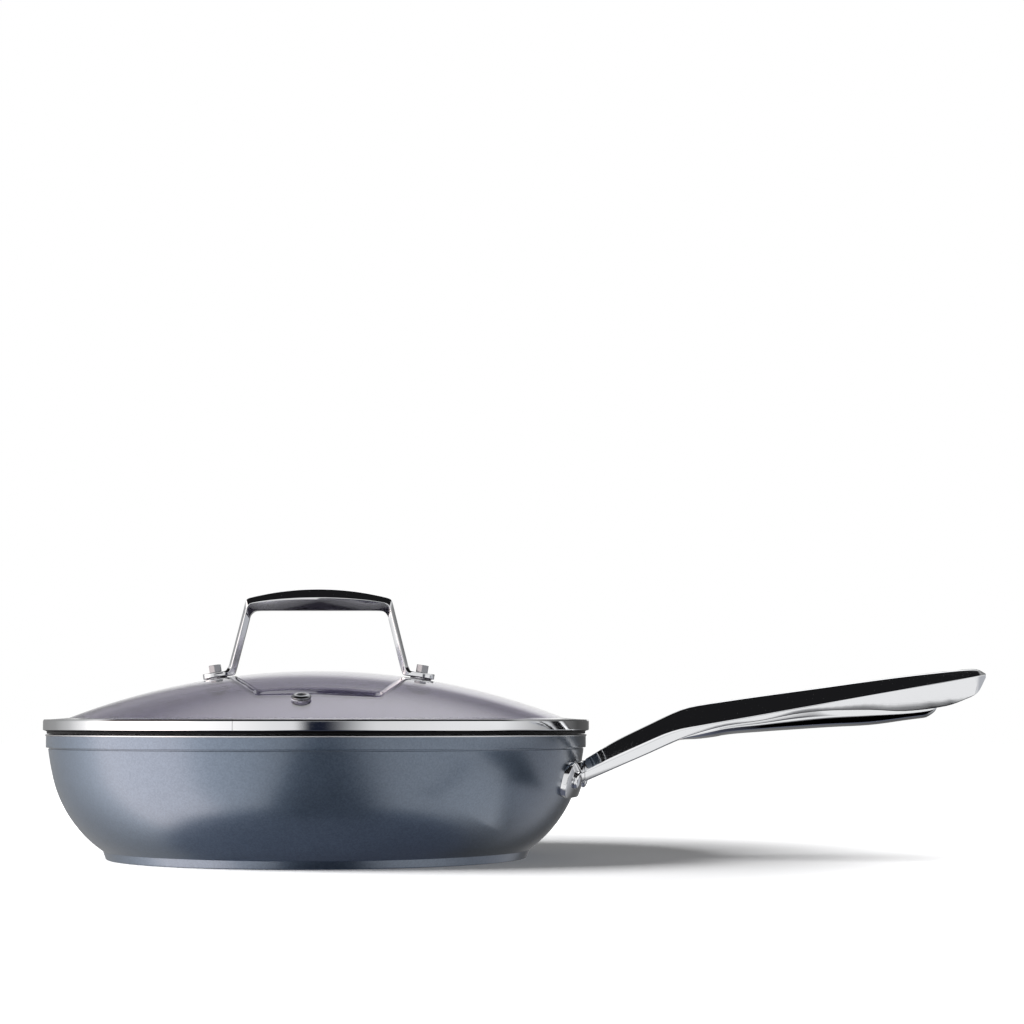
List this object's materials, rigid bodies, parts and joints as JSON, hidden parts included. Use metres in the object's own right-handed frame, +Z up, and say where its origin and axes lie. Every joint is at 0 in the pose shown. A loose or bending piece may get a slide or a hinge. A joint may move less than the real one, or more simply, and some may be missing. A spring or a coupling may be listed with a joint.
{
  "type": "saute pan with lid",
  "caption": "Round deep pan with curved sides, a bent hollow steel handle, and a domed glass lid in a steel band with a bow handle and a steam vent.",
  "frame": {"origin": "centre of the flat base, on the surface that the pan stands on", "axes": "+Z up, +X along the long handle, away from the pan"},
  "size_m": [0.4945, 0.2886, 0.1422],
  "materials": {
    "lacquered_aluminium": "slate-blue metallic lacquer outside, dark non-stick coating inside, bare lip",
    "polished_steel": "mirror polished",
    "base_steel": "turned, satin",
    "tinted_glass": "gloss, grey tint",
    "silicone": "matte"
  },
  "bodies": {
    "pan": {"pan_body": "lacquered_aluminium", "induction_plate": "base_steel", "handle_bracket": "polished_steel", "handle_upper_shell": "polished_steel", "handle_lower_shell": "polished_steel", "rivet_near": "polished_steel", "rivet_far": "polished_steel"},
    "lid": {"lid_glass": "tinted_glass", "lid_rim_band": "polished_steel", "vent_eyelet": "polished_steel", "vent_gasket": "silicone", "lid_handle": "polished_steel", "foot_gasket_left": "silicone", "foot_gasket_right": "silicone", "inner_gasket_left": "silicone", "inner_gasket_right": "silicone", "inner_washer_left": "polished_steel", "inner_washer_right": "polished_steel", "lid_screw_left": "polished_steel", "lid_screw_right": "polished_steel", "hex_nut_left": "polished_steel", "hex_nut_right": "polished_steel"}
  },
  "joints": [
    {"name": "lid_lift", "type": "slide", "parent": "pan", "child": "lid", "axis": [0, 0, 1], "range_m": [0, 0.12]}
  ]
}
